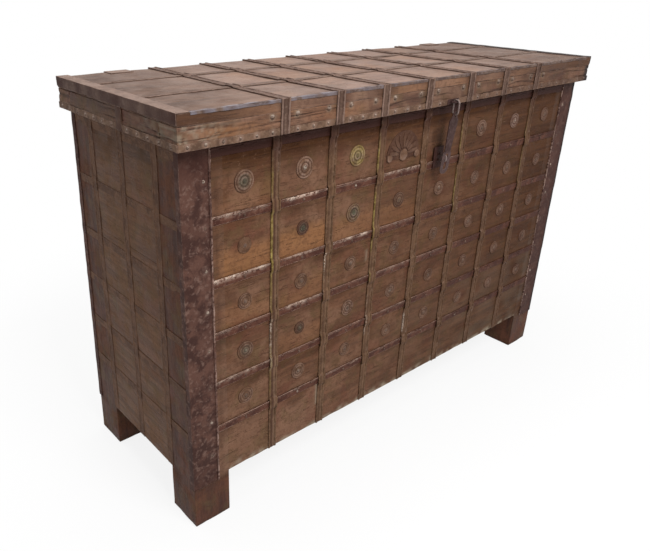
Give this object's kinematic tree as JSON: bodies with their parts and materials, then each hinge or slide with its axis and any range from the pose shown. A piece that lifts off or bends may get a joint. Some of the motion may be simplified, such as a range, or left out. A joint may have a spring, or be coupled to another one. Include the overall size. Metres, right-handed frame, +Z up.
{
  "type": "dowry chest",
  "caption": "Iron-bound wooden dowry chest on four square feet, with a flat overhanging lid hinged at the back, a grid of straps with rosettes, and a hanging hasp.",
  "frame": {"origin": "on the floor, at the middle of the chest's overall box", "axes": "+X along the length to the viewer's right as the chest is faced, -Y towards the front, +Z up"},
  "size_m": [1.5074, 0.5384, 1.0069],
  "materials": {
    "body_wood": "old stained hardwood, worn and matt",
    "inner_wood": "bare sawn wood, dusty",
    "lid_wood": "sun-bleached hardwood",
    "corner_iron": "mottled sheet iron with old paint and rust",
    "body_strap_iron": "painted strap iron, chipped at its raised edges",
    "lid_strap_iron": "worn strap iron",
    "rosette_sheet": "pressed sheet iron, painted over",
    "nail_brass": "rubbed brass with dark rims",
    "forged_iron": "hand-forged, dark and worn"
  },
  "bodies": {
    "chest": {"back_board_1": "body_wood", "back_board_2": "body_wood", "back_board_3": "body_wood", "back_straps": "body_strap_iron", "body_staple": "forged_iron", "body_strap_nails": "nail_brass", "corner_iron_back_left": "corner_iron", "corner_iron_back_right": "corner_iron", "corner_iron_front_left": "corner_iron", "corner_iron_front_right": "corner_iron", "floor_battens": "inner_wood", "floor_board_back": "inner_wood", "floor_board_front": "inner_wood", "floor_board_middle_back": "inner_wood", "floor_board_middle_front": "inner_wood", "front_board_1": "body_wood", "front_board_2": "body_wood", "front_board_3": "body_wood", "front_board_4": "body_wood", "front_board_5": "body_wood", "front_board_6": "body_wood", "front_level_straps": "body_strap_iron", "front_rosettes": "rosette_sheet", "front_upright_straps": "body_strap_iron", "hinge_body_leaves": "forged_iron", "hinge_pins": "forged_iron", "left_end_board_1": "body_wood", "left_end_board_2": "body_wood", "left_end_board_3": "body_wood", "left_end_straps": "body_strap_iron", "palmette": "rosette_sheet", "post_back_left": "body_wood", "post_back_right": "body_wood", "post_front_left": "body_wood", "post_front_right": "body_wood", "right_end_board_1": "body_wood", "right_end_board_2": "body_wood", "right_end_board_3": "body_wood", "right_end_straps": "body_strap_iron", "rosette_nails": "nail_brass"},
    "lid": {"lid_battens": "inner_wood", "lid_board_back": "lid_wood", "lid_board_front": "lid_wood", "lid_board_middle": "lid_wood", "lid_cross_straps": "lid_strap_iron", "lid_end_irons": "lid_strap_iron", "lid_end_straps": "lid_strap_iron", "lid_front_edge_irons": "lid_strap_iron", "lid_long_straps": "lid_strap_iron", "lid_lower_strips": "lid_strap_iron", "lid_nails": "nail_brass", "lid_rail_back": "lid_wood", "lid_rail_front": "lid_wood", "lid_rail_left": "lid_wood", "lid_rail_right": "lid_wood", "lid_staple": "forged_iron", "hinge_lid_leaves": "forged_iron"},
    "hasp_link": {"hasp_link": "forged_iron"},
    "hasp": {"hasp": "forged_iron"}
  },
  "joints": [
    {"name": "lid_hinge", "type": "hinge", "parent": "chest", "child": "lid", "pos_m": [0, 0.24661, 0.9261], "axis": [-1, 0, 0], "range_deg": [0, 105]},
    {"name": "link_swing", "type": "hinge", "parent": "lid", "child": "hasp_link", "pos_m": [0.06, -0.259, 0.9394], "axis": [-1, 0, 0], "range_deg": [0, 90]},
    {"name": "hasp_swing", "type": "hinge", "parent": "hasp_link", "child": "hasp", "pos_m": [0.06, -0.259, 0.9084], "axis": [-1, 0, 0], "range_deg": [-3, 16]}
  ]
}
